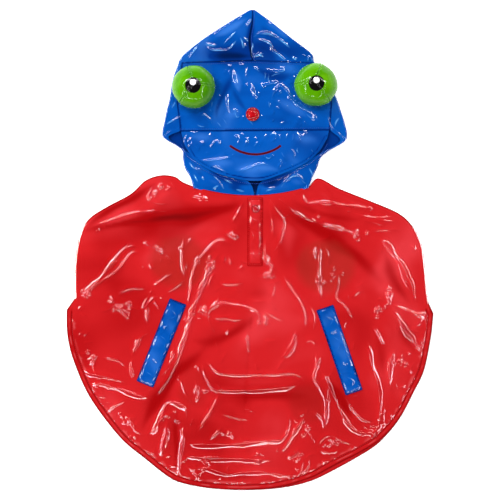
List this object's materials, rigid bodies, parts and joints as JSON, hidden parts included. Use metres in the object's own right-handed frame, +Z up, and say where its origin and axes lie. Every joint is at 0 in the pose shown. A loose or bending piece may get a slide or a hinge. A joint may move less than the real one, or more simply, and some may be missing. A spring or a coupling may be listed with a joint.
{
  "type": "child's rain poncho",
  "caption": "Child's hooded rain poncho in glossy red and blue vinyl with stuffed green eyes, a visor and arm slits, laid flat to be worn over clothes in the rain.",
  "frame": {"origin": "middle of the bounding box in plan, on the surface that the garment lies on", "axes": "+Z up out of the surface, the way the front of the garment faces; +Y up the garment, from hem to hood; +X towards the wearer's left arm"},
  "size_m": [0.55, 0.72, 0.0337],
  "materials": {
    "red_vinyl": "high-gloss soft vinyl, slightly see-through",
    "blue_vinyl": "high-gloss soft vinyl",
    "green_vinyl": "high-gloss soft vinyl over a soft filling",
    "red_snap": "moulded, satin gloss"
  },
  "bodies": {
    "root": {"front_panel": "red_vinyl", "back_panel": "red_vinyl", "placket": "red_vinyl", "placket_snap": "red_snap", "welt_left": "blue_vinyl", "welt_right": "blue_vinyl", "hood_left": "blue_vinyl", "hood_right": "blue_vinyl", "brow": "blue_vinyl", "visor": "blue_vinyl", "eye_left": "green_vinyl", "eye_right": "green_vinyl", "nose_snap": "red_snap"}
  },
  "joints": []
}
